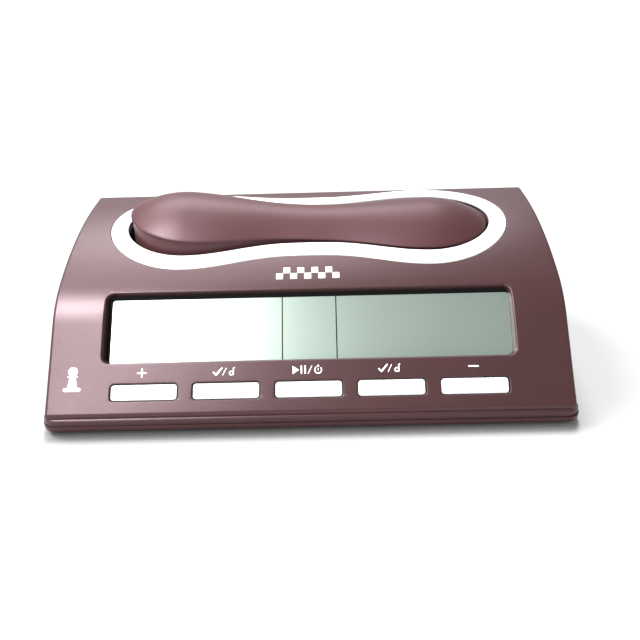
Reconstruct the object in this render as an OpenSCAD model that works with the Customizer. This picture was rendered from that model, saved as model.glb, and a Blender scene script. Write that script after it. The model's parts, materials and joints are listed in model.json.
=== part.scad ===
// Digital chess clock: a wedge-shaped case with a sloping front panel, a blank display,
// five keys, and a peanut-shaped rocker on the crown that both players press.
// Row frame in millimetres: X to the right, Y to the back, Z up, and the origin on the
// table, under the middle of the case.

/* [Case] */
// Width over the lower case
overall_w = 159; // [158.6:0.1:160]
// Depth over the lower case
overall_d = 85; // [84.6:0.1:85.4]
// Width over the flat sides of the upper case
body_w = 156; // [155:0.1:156]
// Wall thickness of the upper case
wall = 2.4; // [2.3:0.05:2.5]
// Slope of the front panel, in degrees
face_angle = 45.5; // [45:0.1:46]
// Straight length of the front panel, along its slope
face_len = 26.8; // [26.5:0.1:27.2]
// Radius of the bend above the front panel
shoulder_r = 36.5; // [36:0.1:37]
// Slope at the top of that bend, in degrees
shoulder_angle = 23.7; // [23.5:0.1:24]
// Radius of the crown
crown_r = 123.6; // [123:0.1:124]
// Slope at the back edge of the crown, in degrees
crown_angle = 3; // [2.8:0.1:3.2]

/* [Rocker] */
// Tilt of the rocker at rest, right end down, in degrees
rocker_tilt = 2.9; // [2.7:0.1:3]
// Height of the rocker's dome over its rim, at each lobe
dome_lobe = 6.1; // [5.9:0.1:6.3]
// Height of the rocker's dome over its rim, at the waist
dome_waist = 4.4; // [4.2:0.1:4.6]
// Depth of the rocker's skirt under its rim
skirt_h = 10.1; // [9.8:0.1:10.3]
// Width of the white trim ring around the rocker
ring_w = 5.8; // [5.4:0.1:6]
// Gap between the ring and the rocker
rocker_gap = 1.2; // [1.1:0.05:1.25]

/* [Display] */
// Width of the display window
window_w = 123.8; // [123:0.1:126]
// Height of the display window, along the panel
window_h = 22.1; // [21.5:0.1:22.4]
// Depth of the display glass under the panel
glass_depth = 2.8; // [2.7:0.05:2.9]

/* [Keys] */
// Width of a key
key_w = 19.7; // [19:0.1:20]
// Height of a key, along the panel
key_h = 4.7; // [4.4:0.1:4.8]
// Distance from key to key
key_pitch = 24.4; // [24:0.1:25]

/* [Hidden] */
$fn = 48;
slack = 0.1;                 // gap round a fixed piece in its seat
// Side profile of the upper case
front_y = -overall_d / 2 + 1.6;
foot_z = 6.7;
foot_drop = 0.6;             // panel below the foot point
seam_z = 2.8;                // where the upper case ends
top_len = 6.5;               // straight back end of the crown
back_edge_r = 1.2;
back_angle = -86;            // slope of the back wall
back_y = 41.7;               // back wall at the seam
flange_w = body_w + 2.4;
flange_y0 = front_y - 1.2;
flange_y1 = back_y + 0.6;
flange_z = 4.4;              // top of the flange's upright side
flange_chamfer_z = 5;
plan_r = 2.5;                // corners of the upper case seen from above
flange_r = 4;
// Rocker and its bed
rocker_y = front_y + 57.5;
pivot_z = 34;
pin_r = 1.5;
pin_clear = 0.05;
rim_z = 41.8;                // rim of the level rocker, at its middle
rim_pitch = 0.16;            // rise of the rim per millimetre to the back
rim_bow = 2.3;               // rise of the rim from its middle to its ends
lobe_x = 39.9;
lobe_a = 27.1;               // half length of a ring lobe beyond its centre
lobe_b = 22.3;               // half depth of a ring lobe
waist_b = 17.6;              // half depth of the ring at its waist
lobe_steps = 8;
waist_steps = 20;
cap_wall = 2;
rocker_inset = ring_w + rocker_gap;
ring_t = 1.2;                // thickness of the trim ring
bed_wall = 1.8;
bed_floor_z = 25;
bed_floor_t = 1.6;
bed_ear = [14, 17.5];        // half spacing of the bed's screw ears
bed_ear_z = 33;
frame_z = 37.8;              // underside of the rocker frame's plate
frame_t = 1.6;
frame_margin = 1.3;          // frame's plate to the inside of the cap's skirt
leg_x = 26;
leg_z = 31;                  // underside of the frame's legs
rocker_screw_x = 43;
boss_top_z = 47.9;           // screw bosses end inside the cap's wall
leg_r = 4;
barrel_r = 3.2;              // barrel of the frame, round the pivot pin
barrel_half = 4.6;
post_y = 4.9;                // inner face of a pivot post
post_t = 3;
post_r = 3.6;
bush_r = 2.57;
bush_seat_r = 2.6;
pin_half = 8.2;
// Small screws, all of one size
pilot_r = 0.95;
hole_r = 1.3;
small_head_r = 2.2;
small_head_t = 1.3;
small_shank_r = 0.85;
// Push rods and their board
rod_r = 1.6;
rod_head_r = 2.9;
rod_head_t = 1.2;
rod_puck_r = 2.8;
rod_puck_t = 1.1;
rod_gap = 0.15;
rod_spring_r = 2.35;
rod_spring_wire_r = 0.2;
rod_spring_play = 0.03;
guide_r = 3.4;
standoff_r = 2.3;
rod_swing = leg_x * tan(rocker_tilt);
board_t = 1.6;
switch_board_z = 16;
switch_board_w = 74;
switch_board_d = 14;
standoff_x = 33.4;
guide_top_z = 26.5;
// Display stack, as depths under the panel
window_p0 = 14.7;            // lower edge of the window, up from the panel's foot
window_r = 2.4;
glass_w = 128;
glass_p0 = 12.6;
glass_p1 = 38;
glass_t = 1.1;
rear_glass_w = 125;
rear_p0 = 15;
rear_p1 = 37.2;
main_board_depth = 7;
main_board_w = 133.6;
main_board_p0 = 3.9;
main_board_p1 = 42.4;
board_boss = [[-64.5, 7.5], [64.5, 7.5], [-55, 40.7], [0, 40.7], [55, 40.7]];
// Keys, as depths under the panel
key_p = 5.85;
key_r = 1;
key_sink = 0.3;
key_clear = 0.25;
key_flange = 0.8;
key_flange_t = 0.8;
mat_depth = 6.2;
dome_depth = 4.5;
// Lower case
base_z = 0.8;
floor_z = 2.6;
base_top_z = 2.7;
base_r = 4.2;
lip_t = 1.4;
lip_z = 5;
screw_at = [[-71, -29], [71, -29], [-71, 34], [71, 34]];
boss_r = 3.9;                // screw bosses of the lower case
boss_floor_z = 3.2;          // what the case screws' heads bear on
foot_at = [[-62, -34], [62, -34], [-62, 33.5], [62, 33.5]];
foot_r = 4.5;
foot_t = 1.5;
// Batteries
cell_r = 5.25;
cell_len = 43.3;
cell_z = 8.9;
cell_y = [11.2, 22];
bay_x = 25.2;
bay_y0 = 5.7;
bay_y1 = 27.5;
bay_roof_z = 14.4;
bay_wall = 1.2;
door_w = 46.6;
door_y0 = 5.4;
door_y1 = 27.8;
door_t = 1.6;
door_gap = 0.2;
door_tab_x = 12;
plate_t = 0.4;               // nickel contacts at the bay's ends
plate_z = 4.2;
plate_h = 9.4;
plate_gap = 0.05;            // contact to the bay's end wall
coil_r = 3.6;
coil_tip_r = 1.8;
coil_wire_r = 0.35;
coil_h = 2.6;
wire_r = 0.6;
// Buzzer over the vent slots
vent_at = [-45, 8];
buzzer_r = 10;
buzzer_t = 0.3;
buzzer_ledge = 2;            // height of the disc over the floor
holder_wall = 1.4;
holder_h = 3.4;

MAROON = [0.30, 0.17, 0.19];
DARK = [0.12, 0.08, 0.09];
WHITE = [0.93, 0.93, 0.92];
STEEL = [0.75, 0.76, 0.78];
PCB = [0.12, 0.36, 0.2];

// ---------- outlines ----------

// A point len further on from p, at slope a
function ahead(p, len, a) = p + len * [cos(a), sin(a)];

// The point on an outward bend of radius r that starts at p with slope a0, where the slope is a
function on_bend(p, r, a0, a) = p + r * [sin(a0) - sin(a), cos(a) - cos(a0)];

function bend(p, r, a0, a1, n) = [for (i = [1:n]) on_bend(p, r, a0, a0 + (a1 - a0) * i / n)];

foot_pt = [front_y, foot_z];
face_pt = ahead(foot_pt, face_len, face_angle);
shoulder_pt = on_bend(face_pt, shoulder_r, face_angle, shoulder_angle);
crown_pt = on_bend(shoulder_pt, crown_r, shoulder_angle, crown_angle);
top_pt = ahead(crown_pt, top_len, crown_angle);
toe_pt = ahead(foot_pt, -foot_drop, face_angle);

// Side profile of the upper case, as [y, z] points, down to bottom_z
function side_profile(bottom_z) = concat(
    [[back_y, bottom_z], [toe_pt[0], bottom_z], toe_pt, foot_pt, face_pt],
    bend(face_pt, shoulder_r, face_angle, shoulder_angle, 10),
    bend(shoulder_pt, crown_r, shoulder_angle, crown_angle, 14),
    [top_pt],
    bend(top_pt, back_edge_r, crown_angle, back_angle, 6));

// Half depth of the peanut between its lobes
function waist_at(x, b, w) =
    let (t = (lobe_x - abs(x)) / lobe_x)
    b - (b - w) * (1 - pow(1 - t * t, 3.4));

// The peanut outline, set in from the trim ring's outer edge, round from its right end
function peanut(inset) =
    let (a = lobe_a - inset, b = lobe_b - inset, w = waist_b - inset,
         q = lobe_steps, m = waist_steps)
    concat(
        [for (i = [0:q - 1]) [lobe_x + a * cos(90 * i / q), b * sin(90 * i / q)]],
        [for (i = [0:m - 1]) let (x = lobe_x * (1 - 2 * i / m)) [x, waist_at(x, b, w)]],
        [for (i = [q:3 * q - 1]) [a * cos(90 * i / q) - lobe_x, b * sin(90 * i / q)]],
        [for (i = [0:m - 1]) let (x = lobe_x * (2 * i / m - 1)) [x, -waist_at(x, b, w)]],
        [for (i = [3 * q:4 * q - 1]) [lobe_x + a * cos(90 * i / q), b * sin(90 * i / q)]]);

// ---------- placing ----------

// Children sit on the front panel: Y up its slope from the foot, Z out of it
module on_panel() {
    translate([0, front_y, foot_z]) rotate([face_angle, 0, 0]) children();
}

module over_rocker() {
    translate([0, rocker_y, 0]) children();
}

// Children turn with the rocker from level to its rest tilt
module tilted() {
    translate([0, rocker_y, pivot_z])
        rotate([0, rocker_tilt, 0])
            translate([0, -rocker_y, -pivot_z])
                children();
}

module at_each(places) {
    for (p = places) translate([p[0], p[1], 0]) children();
}

// ---------- shared shapes ----------

module rounded_slab(size, r, h) {
    linear_extrude(h) rounded_rect(size, r);
}

module rounded_rect(size, r) {
    square([size[0] - 2 * r, size[1]], center = true);
    square([size[0], size[1] - 2 * r], center = true);
    for (x = [-1, 1], y = [-1, 1])
        translate([x * (size[0] / 2 - r), y * (size[1] / 2 - r)]) circle(r);
}

// A block on the panel's frame: width, from p0 to p1 up the slope, and between two depths
module panel_block(w, p0, p1, d0, d1) {
    translate([-w / 2, p0, -d1]) cube([w, p1 - p0, d1 - d0]);
}

// The upper case as a solid block, inset all round, and down to bottom_z
module body_block(inset, bottom_z) {
    rotate([90, 0, 90])
        linear_extrude(body_w - 2 * inset, center = true)
            offset(delta = -inset) polygon(side_profile(bottom_z));
}

module peanut_block(inset, z0, z1) {
    over_rocker() translate([0, 0, z0]) linear_extrude(z1 - z0) polygon(peanut(inset));
}

// A tube with a hole, standing on z0
module post(r, bore_r, z0, z1) {
    difference() {
        translate([0, 0, z0]) cylinder(r = r, h = z1 - z0);
        translate([0, 0, z0 - 1]) cylinder(r = bore_r, h = z1 - z0 + 2);
    }
}

// A pan-head screw with its head's underside at z = 0, pointing up
module screw(head_r, head_h, shank_r, length) {
    difference() {
        translate([0, 0, -head_h]) cylinder(r = head_r, h = head_h);
        for (a = [0, 90])
            rotate([0, 0, a])
                translate([-head_r * 0.6, -0.25, -head_h - 1])
                    cube([head_r * 1.2, 0.5, 1 + head_h * 0.5]);
    }
    cylinder(r = shank_r, h = length);
}

module small_screw(length) {
    screw(small_head_r, small_head_t, small_shank_r, length);
}

// Wire through a list of points
module wire(points, r) {
    for (i = [0:len(points) - 2])
        hull()
            for (p = [points[i], points[i + 1]])
                translate(p) sphere(r, $fn = 10);
}

// A coil spring up from z = 0, as one swept tube
module coil(coil_r, end_r, wire_r, h, turns) {
    rings = turns * 12;
    sides = 6;
    points = [for (i = [0:rings]) let (a = 360 * turns * i / rings, s = i / rings,
                                       r = coil_r + (end_r - coil_r) * s)
              for (k = [0:sides - 1]) let (b = 360 * k / sides)
              [(r + wire_r * cos(b)) * cos(a), (r + wire_r * cos(b)) * sin(a),
               wire_r + (h - 2 * wire_r) * s + wire_r * sin(b)]];
    faces = concat(
        [[for (k = [sides - 1:-1:0]) k]],
        [for (i = [0:rings - 1], k = [0:sides - 1]) let (n = (k + 1) % sides)
         [i * sides + k, i * sides + n, (i + 1) * sides + n, (i + 1) * sides + k]],
        [[for (k = [0:sides - 1]) rings * sides + k]]);
    polyhedron(points, faces, convexity = 4);
}

// ---------- case ----------

module body_outline(bottom_z) {
    intersection() {
        body_block(0, bottom_z);
        translate([0, (toe_pt[0] + back_y) / 2, -30])
            rounded_slab([body_w, back_y - toe_pt[0]], plan_r, 90);
    }
}

// The skirt that stands proud all round the foot of the upper case
module flange() {
    size = [flange_w, flange_y1 - flange_y0];
    step = flange_chamfer_z - flange_z;
    translate([0, (flange_y0 + flange_y1) / 2, 0]) {
        translate([0, 0, seam_z]) rounded_slab(size, flange_r, flange_z - seam_z);
        hull() {
            translate([0, 0, flange_z - 0.01]) rounded_slab(size, flange_r, 0.01, $fn = 32);
            translate([0, 0, flange_chamfer_z - 0.01])
                rounded_slab(size - [step, step], flange_r - step / 2, 0.01, $fn = 32);
        }
    }
}

module window_cut() {
    translate([0, window_p0 + window_h / 2, -glass_depth - 1])
        rounded_slab([window_w, window_h], window_r, glass_depth + 9);
}

module key_cuts() {
    for (i = [-2:2])
        translate([i * key_pitch, key_p, -wall - 1])
            rounded_slab([key_w + 2 * key_clear, key_h + 2 * key_clear],
                         key_r + key_clear, wall + 9);
}

module case_bosses() {
    at_each(screw_at) post(3, 1.15, lip_z + 0.6, 50);
    over_rocker()
        for (x = [-1, 1], y = [-1, 1])
            translate([x * bed_ear[0], y * bed_ear[1], 0]) post(2.6, 0.95, bed_ear_z, 50);
    on_panel()
        for (b = board_boss)
            translate([b[0], b[1], 0]) post(2.2, 0.85, -main_board_depth, 0);
}

module upper_case() {
    color(MAROON) {
        difference() {
            union() {
                body_outline(seam_z);
                flange();
            }
            body_block(wall, -20);
            on_panel() window_cut();
            on_panel() key_cuts();
            on_panel()
                panel_block(glass_w + 0.6, glass_p0 - 0.3, glass_p1 + 0.3, glass_depth, 12);
            intersection() {
                peanut_block(-slack, 20, 60);
                difference() {
                    body_block(-5, 0);
                    body_block(ring_t + slack, 0);
                }
            }
            peanut_block(ring_w, 20, 60);
        }
        // Thicker rim behind the window, which the display glass lies against
        difference() {
            intersection() {
                body_block(wall - 0.01, 0);
                on_panel()
                    panel_block(window_w + 8, window_p0 - 3.6, face_len, 0, glass_depth);
            }
            on_panel() window_cut();
        }
        intersection() {
            body_block(wall - 0.01, -20);
            case_bosses();
        }
    }
}

module lower_case() {
    lip_w = body_w - 2 * wall - 0.4;
    lip_y0 = toe_pt[0] + wall + 0.9;
    lip_y1 = back_y - wall - 0.9;
    color(MAROON) difference() {
        union() {
            translate([0, 0, base_z])
                rounded_slab([overall_w, overall_d], base_r, base_top_z - base_z);
            // Locating lip
            translate([0, (lip_y0 + lip_y1) / 2, base_z])
                rounded_slab([lip_w, lip_y1 - lip_y0], 2, lip_z - base_z);
        }
        translate([0, (lip_y0 + lip_y1) / 2, floor_z])
            rounded_slab([lip_w - 2 * lip_t, lip_y1 - lip_y0 - 2 * lip_t], 1, 20);
        at_each(screw_at) cylinder(r = boss_r, h = 20);
        at_each(foot_at) translate([0, 0, -1]) cylinder(r = foot_r + 0.2, h = 1 + foot_t + 0.05);
        door_opening();
        vent_slots();
    }
    color(MAROON) at_each(screw_at) difference() {
        translate([0, 0, base_z]) cylinder(r = boss_r, h = lip_z + 0.5 - base_z);
        translate([0, 0, -1]) cylinder(r = 3.1, h = boss_floor_z + 1);
        translate([0, 0, -1]) cylinder(r = 1.7, h = 10);
    }
    color(MAROON) battery_bay();
}

module door_opening() {
    translate([-door_w / 2 - door_gap, door_y0 - door_gap, -1])
        cube([door_w + 2 * door_gap, door_y1 - door_y0 + 2 * door_gap, 20]);
}

module vent_slots() {
    for (i = [-2:2])
        translate([vent_at[0] - 5, vent_at[1] + i * 2.4 - 0.5, -1]) cube([10, 1, 10]);
}

// Box over the cells, open to the door
module battery_bay() {
    difference() {
        translate([-bay_x - bay_wall, bay_y0 - bay_wall, floor_z - 0.01])
            cube([2 * (bay_x + bay_wall), bay_y1 - bay_y0 + 2 * bay_wall,
                  bay_roof_z + 1 - floor_z]);
        translate([-bay_x, bay_y0, -1])
            cube([2 * bay_x, bay_y1 - bay_y0, bay_roof_z + 1]);
        door_opening_notches();
        // Slits for the leads
        for (x = [-1, 1])
            translate([x * (bay_x + bay_wall / 2) - 1.5, bay_y1 - 4, bay_roof_z - 3])
                cube([3, 2.4, 2.4]);
    }
}

module door_opening_notches() {
    for (x = [-door_tab_x, door_tab_x])
        translate([x - 2.6, door_y0 - 2.2, -1]) cube([5.2, 3, 5.8]);
    translate([-door_w / 2 - door_gap, door_y1 - 1, -1]) cube([door_w + 2 * door_gap, 1.2, 3.6]);
}

module trim_ring() {
    color(WHITE) difference() {
        intersection() {
            peanut_block(0, 20, 60);
            difference() {
                body_block(0, 0);
                body_block(ring_t, 0);
            }
        }
        peanut_block(ring_w, 10, 70);
    }
}

// ---------- rocker and its bed ----------

// Dark tub under the opening, with the two pivot posts and the push-rod guides
module rocker_bed() {
    color(DARK) difference() {
        union() {
            intersection() {
                difference() {
                    peanut_block(ring_w - bed_wall, bed_floor_z - bed_floor_t, 60);
                    peanut_block(ring_w, bed_floor_z, 61);
                }
                body_block(wall + slack, 0);
            }
            over_rocker() bed_ears();
            over_rocker() for (y = [-1, 1]) pivot_post(y);
            over_rocker() for (x = [-1, 1]) translate([x * leg_x, 0, bed_floor_z - 0.01])
                cylinder(r = guide_r, h = guide_top_z - bed_floor_z);
            over_rocker() for (x = [-1, 1]) translate([x * standoff_x, 0, 0])
                translate([0, 0, switch_board_z + board_t])
                    cylinder(r = standoff_r, h = bed_floor_z - switch_board_z - board_t);
        }
        over_rocker() {
            for (x = [-1, 1]) {
                translate([x * leg_x, 0, 20]) cylinder(r = rod_r + slack, h = 12);
                translate([x * standoff_x, 0, 10]) cylinder(r = pilot_r, h = 14);
            }
            for (x = [-1, 1], y = [-1, 1])
                translate([x * bed_ear[0], y * bed_ear[1], 20]) cylinder(r = hole_r, h = 20);
            translate([0, -10, pivot_z]) rotate([-90, 0, 0]) cylinder(r = bush_seat_r, h = 20);
        }
    }
}

// Screw ears on the outside of the tub
module bed_ears() {
    for (x = [-1, 1], y = [-1, 1])
        difference() {
            union() {
                translate([x * bed_ear[0], y * bed_ear[1], bed_ear_z - 1.6])
                    cylinder(r = 3, h = 1.6);
                translate([x * bed_ear[0] - 3, y > 0 ? 14 : -17.5, bed_ear_z - 1.6])
                    cube([6, 3.5, 1.6]);
            }
            translate([0, 0, 10]) linear_extrude(50) polygon(peanut(ring_w));
        }
}

// Y of the front face of the post on one side, 1 the rear and -1 the front
function post_face(side) = side > 0 ? post_y : -post_y - post_t;

module pivot_post(side) {
    translate([-post_r, post_face(side), bed_floor_z - 0.01])
        cube([2 * post_r, post_t, pivot_z - bed_floor_z + 0.01]);
    translate([0, post_face(side), pivot_z]) rotate([-90, 0, 0]) cylinder(r = post_r, h = post_t);
}

module pivot_bush(side) {
    color(WHITE) over_rocker()
        translate([0, post_face(side), pivot_z]) rotate([-90, 0, 0]) difference() {
            cylinder(r = bush_r, h = post_t);
            translate([0, 0, -1]) cylinder(r = pin_r + pin_clear, h = post_t + 2);
        }
}

module pivot_bush_front() {
    pivot_bush(-1);
}

module pivot_bush_rear() {
    pivot_bush(1);
}

module pivot_pin() {
    color(STEEL) over_rocker()
        translate([0, -pin_half, pivot_z]) rotate([-90, 0, 0]) cylinder(r = pin_r, h = 2 * pin_half);
}

// Height of the rim over its middle, at x and y
function rim_rise(x, y) =
    rim_pitch * y + rim_bow * pow(x / (lobe_x + lobe_a - rocker_inset), 2);

// Dome height over the spine at x
function dome_height(x) =
    let (s = min(abs(x) / lobe_x, 1)) dome_waist + (dome_lobe - dome_waist) * (1 - cos(180 * s)) / 2;

// A crowned peanut: straight sides from z0 to the rim, then rings that close in on the spine
module crowned_peanut(inset, z0, drop, dome_ts) {
    edge = peanut(inset);
    n = len(edge);
    side = [for (p = edge) [p[0], p[1], z0]];
    dome = [for (t = dome_ts) for (p = edge)
            let (sx = max(-lobe_x, min(lobe_x, p[0])), x = sx + (p[0] - sx) * t, y = p[1] * t)
            [x, y, rim_z - drop + rim_rise(x, y) + dome_height(sx) * (1 - t * t)]];
    rings = len(dome_ts);
    top = rings * n;
    faces = concat(
        [[for (i = [0:n - 1]) i]],
        [for (k = [0:rings - 1], i = [0:n - 1]) let (j = (i + 1) % n)
         [k * n + i, (k + 1) * n + i, (k + 1) * n + j, k * n + j]],
        [[top, top + n - 1, top + 1]],
        [for (i = [1:n / 2 - 2]) [top + i, top + n - i, top + n - i - 1, top + i + 1]],
        [[top + n / 2 - 1, top + n / 2 + 1, top + n / 2]]);
    over_rocker() polyhedron(concat(side, dome), faces, convexity = 6);
}

module rocker_cap() {
    cut_z = rim_z - skirt_h;
    color(MAROON) tilted() {
        difference() {
            crowned_peanut(rocker_inset, cut_z - 2, 0, [1, 0.9, 0.76, 0.6, 0.4, 0.2, 0.08]);
            crowned_peanut(rocker_inset + cap_wall, cut_z - 4, cap_wall,
                           [1, 0.85, 0.65, 0.4, 0.15]);
            translate([-100, 0, cut_z - 50]) cube([200, 100, 50]);
        }
        // Bosses that take the frame's screws
        over_rocker() for (x = [-1, 1]) translate([x * rocker_screw_x, 0, 0]) difference() {
            translate([0, 0, frame_z + frame_t]) cylinder(r = 3, h = boss_top_z - frame_z - frame_t);
            translate([0, 0, frame_z]) cylinder(r = pilot_r, h = 7);
        }
    }
}

// Plate inside the cap: it carries the pivot barrel and the two legs
module rocker_frame() {
    color(DARK) tilted() difference() {
        union() {
            peanut_block(rocker_inset + cap_wall + frame_margin, frame_z, frame_z + frame_t);
            over_rocker() {
                for (x = [-1, 1])
                    translate([x * leg_x, 0, leg_z]) cylinder(r = leg_r, h = frame_z - leg_z);
                translate([-2.4, -barrel_half, pivot_z])
                    cube([4.8, 2 * barrel_half, frame_z - pivot_z]);
                translate([0, -barrel_half, pivot_z])
                    rotate([-90, 0, 0]) cylinder(r = barrel_r, h = 2 * barrel_half);
                // Stiffening rib
                translate([-44, -0.8, frame_z - 1.6]) cube([88, 1.6, 1.6]);
            }
        }
        over_rocker() {
            translate([0, -6, pivot_z]) rotate([-90, 0, 0])
                cylinder(r = pin_r + pin_clear, h = 12);
            for (x = [-1, 1])
                translate([x * rocker_screw_x, 0, frame_z - 4]) {
                    cylinder(r = hole_r, h = 8);
                    cylinder(r = small_head_r + 0.5, h = 4);
                }
        }
    }
}

module rocker_screws() {
    color(STEEL) tilted() over_rocker()
        for (x = [-1, 1])
            translate([x * rocker_screw_x, 0, frame_z]) small_screw(6);
}

// side -1 is the left rod, which stands high at rest, and 1 the right rod, which is low
module push_rod(side) {
    head_z = leg_z - rod_gap - side * rod_swing;
    puck_z = switch_board_z + board_t + 0.2 + (side > 0 ? 0 : 2 * rod_swing);
    color(WHITE) over_rocker() translate([side * leg_x, 0, 0]) {
        translate([0, 0, puck_z]) cylinder(r = rod_puck_r, h = rod_puck_t);
        translate([0, 0, puck_z]) cylinder(r = rod_r, h = head_z - puck_z - 0.1);
        translate([0, 0, head_z - rod_head_t]) cylinder(r = rod_head_r, h = rod_head_t - 0.35);
        translate([0, 0, head_z - 0.35]) cylinder(r = 1.8, h = 0.35);
    }
}

module push_rod_left() {
    push_rod(-1);
}

module push_rod_right() {
    push_rod(1);
}

module rod_spring(side) {
    top_z = leg_z - rod_gap - side * rod_swing - rod_head_t;
    color(STEEL) over_rocker() translate([side * leg_x, 0, guide_top_z + rod_spring_play])
        coil(rod_spring_r, rod_spring_r, rod_spring_wire_r,
             top_z - guide_top_z - 2 * rod_spring_play, 2);
}

module rod_spring_left() {
    rod_spring(-1);
}

module rod_spring_right() {
    rod_spring(1);
}

module switch_board() {
    color(PCB) over_rocker() difference() {
        translate([-switch_board_w / 2, -switch_board_d / 2, switch_board_z])
            cube([switch_board_w, switch_board_d, board_t]);
        for (x = [-1, 1])
            translate([x * standoff_x, 0, switch_board_z - 1]) cylinder(r = 1.3, h = 5);
    }
}

// Two half-moon pads that the rod's puck bridges
module contact_pads(side) {
    color("gold") over_rocker()
        translate([side * leg_x, 0, switch_board_z + board_t]) difference() {
            cylinder(r = 2.8, h = 0.1);
            translate([-0.3, -4, -1]) cube([0.6, 8, 3]);
        }
}

module contact_left() {
    contact_pads(-1);
}

module contact_right() {
    contact_pads(1);
}

module switch_board_screws() {
    color(STEEL) over_rocker()
        for (x = [-1, 1])
            translate([x * standoff_x, 0, switch_board_z]) small_screw(6);
}

module bed_screws() {
    color(STEEL) over_rocker()
        for (x = [-1, 1], y = [-1, 1])
            translate([x * bed_ear[0], y * bed_ear[1], bed_ear_z - 1.6])
                small_screw(y > 0 ? 6 : 3);
}

// ---------- display and main board ----------

module lcd_front_glass() {
    color([0.66, 0.73, 0.69]) on_panel()
        panel_block(glass_w, glass_p0, glass_p1, glass_depth, glass_depth + glass_t);
}

module lcd_rear_glass() {
    color([0.5, 0.56, 0.53]) on_panel()
        panel_block(rear_glass_w, rear_p0, rear_p1, glass_depth + glass_t,
                    glass_depth + 2 * glass_t);
}

// Moulded holder that presses the glass to the case and keeps the contact strip in line
module lcd_frame() {
    d0 = glass_depth + glass_t + 0.05;
    color(WHITE) on_panel() difference() {
        panel_block(glass_w, glass_p0, glass_p1, d0, main_board_depth);
        panel_block(rear_glass_w + 0.4, rear_p0 - 0.2, rear_p1 + 0.2, 0,
                    glass_depth + 2 * glass_t + 0.1);
        panel_block(120.4, 12.95, 14.45, 0, 10);
        for (x = [-42, 0, 42])
            translate([x, 0, 0]) panel_block(38, 18, 35, 0, 10);
    }
}

module zebra_strip() {
    color("hotpink") on_panel()
        panel_block(120, 13.1, 14.3, glass_depth + glass_t, main_board_depth);
}

module main_board() {
    color(PCB) on_panel() difference() {
        panel_block(main_board_w, main_board_p0, main_board_p1, main_board_depth,
                    main_board_depth + board_t);
        for (b = board_boss)
            translate([b[0], b[1], -main_board_depth - 5]) cylinder(r = 1.1, h = 10);
    }
}

module main_board_screws() {
    color(STEEL) on_panel()
        for (b = board_boss)
            translate([b[0], b[1], -main_board_depth - board_t])
                screw(1.9, 1.1, 0.75, b[1] > face_len ? 2.6 : 5.2);
}

// Resin blob over the bare controller
module controller_chip() {
    color("black") on_panel()
        translate([8, 24, -main_board_depth - board_t]) rotate([180, 0, 0])
            rotate_extrude()
                intersection() {
                    translate([0, -8.75]) circle(10.25, $fn = 96);
                    square([7, 3]);
                }
}

module crystal() {
    color(STEEL) on_panel()
        translate([20, 22, -main_board_depth - board_t - 1.55]) rotate([0, 90, 0])
            cylinder(r = 1.5, h = 6);
}

module board_components() {
    color("tan") on_panel()
        for (i = [0:5])
            translate([-38 + 6 * i, 20 + 6 * (i % 2), -main_board_depth - board_t - 1])
                cube([2, 1.2, 1]);
    color("navy") on_panel()
        translate([30, 27, -main_board_depth - board_t - 5.5]) cylinder(r = 2.5, h = 5.5);
}

// Flat cable from the main board's back to the switch board
module ribbon_cable() {
    path = [[-13.08, 22.7], [-9, 18.9], [-3, 18.4], [9, 18.4], [13.5, 18.25]];
    color("lightgrey") translate([-14, 0, 0]) rotate([90, 0, 90]) linear_extrude(12)
        polygon(concat(path, [for (i = [len(path) - 1:-1:0]) path[i] - [0, 0.6]]));
}

// ---------- keys ----------

module keypad_mat() {
    color("dimgray") on_panel() {
        panel_block(122, 4.1, 7.7, mat_depth, main_board_depth);
        for (i = [-2:2])
            translate([i * key_pitch, key_p, -mat_depth - 0.01])
                rounded_slab([7, 3.2], 1.2, mat_depth - dome_depth);
    }
}

module key(index) {
    color(WHITE) on_panel() translate([index * key_pitch, key_p, 0]) {
        translate([0, 0, -wall - slack]) rounded_slab([key_w, key_h], key_r, wall + slack - key_sink);
        translate([0, 0, -wall - slack - key_flange_t])
            rounded_slab([key_w + 2 * key_flange, key_h + 2 * key_flange], key_r, key_flange_t);
        translate([0, 0, -dome_depth + slack])
            rounded_slab([6, 2.8], 1, dome_depth - wall - 2 * slack - key_flange_t + 0.01);
    }
}

module key_plus() {
    key(-2);
}

module key_confirm_left() {
    key(-1);
}

module key_play() {
    key(0);
}

module key_confirm_right() {
    key(1);
}

module key_minus() {
    key(2);
}

// ---------- batteries and sound ----------

module battery_door() {
    color(MAROON) {
        difference() {
            translate([-door_w / 2, door_y0, base_z])
                cube([door_w, door_y1 - door_y0, door_t]);
            // Finger recess at the latch
            translate([-8, door_y1 - 3, -0.6]) cube([16, 2, 2]);
            for (i = [0:2])
                translate([-6, door_y1 - 9 + 1.8 * i, -0.7]) cube([12, 0.8, 2]);
        }
        for (x = [-door_tab_x, door_tab_x]) {
            translate([x - 2, door_y0, base_z]) cube([4, 1, 2.55]);
            translate([x - 2, door_y0 - 1.6, floor_z + 0.05]) cube([4, 2.6, 0.7]);
        }
    }
}

// A cell along X; dir is the way its cap points
module cell(y, dir) {
    translate([0, y, cell_z]) rotate([0, dir * 90, 0]) {
        color("black") translate([0, 0, -cell_len / 2]) cylinder(r = cell_r, h = cell_len);
        color(STEEL) translate([0, 0, cell_len / 2 - 0.01]) cylinder(r = 1.9, h = 1.2);
    }
}

module cell_front() {
    cell(cell_y[0], 1);
}

module cell_rear() {
    cell(cell_y[1], -1);
}

// Contact plate at an end of the bay: side is 1 at the right end and -1 at the left
module contact_plate(side, y, w) {
    x = side * (bay_x - plate_gap - plate_t / 2);
    translate([x - plate_t / 2, y - w / 2, plate_z]) cube([plate_t, w, plate_h]);
}

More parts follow.
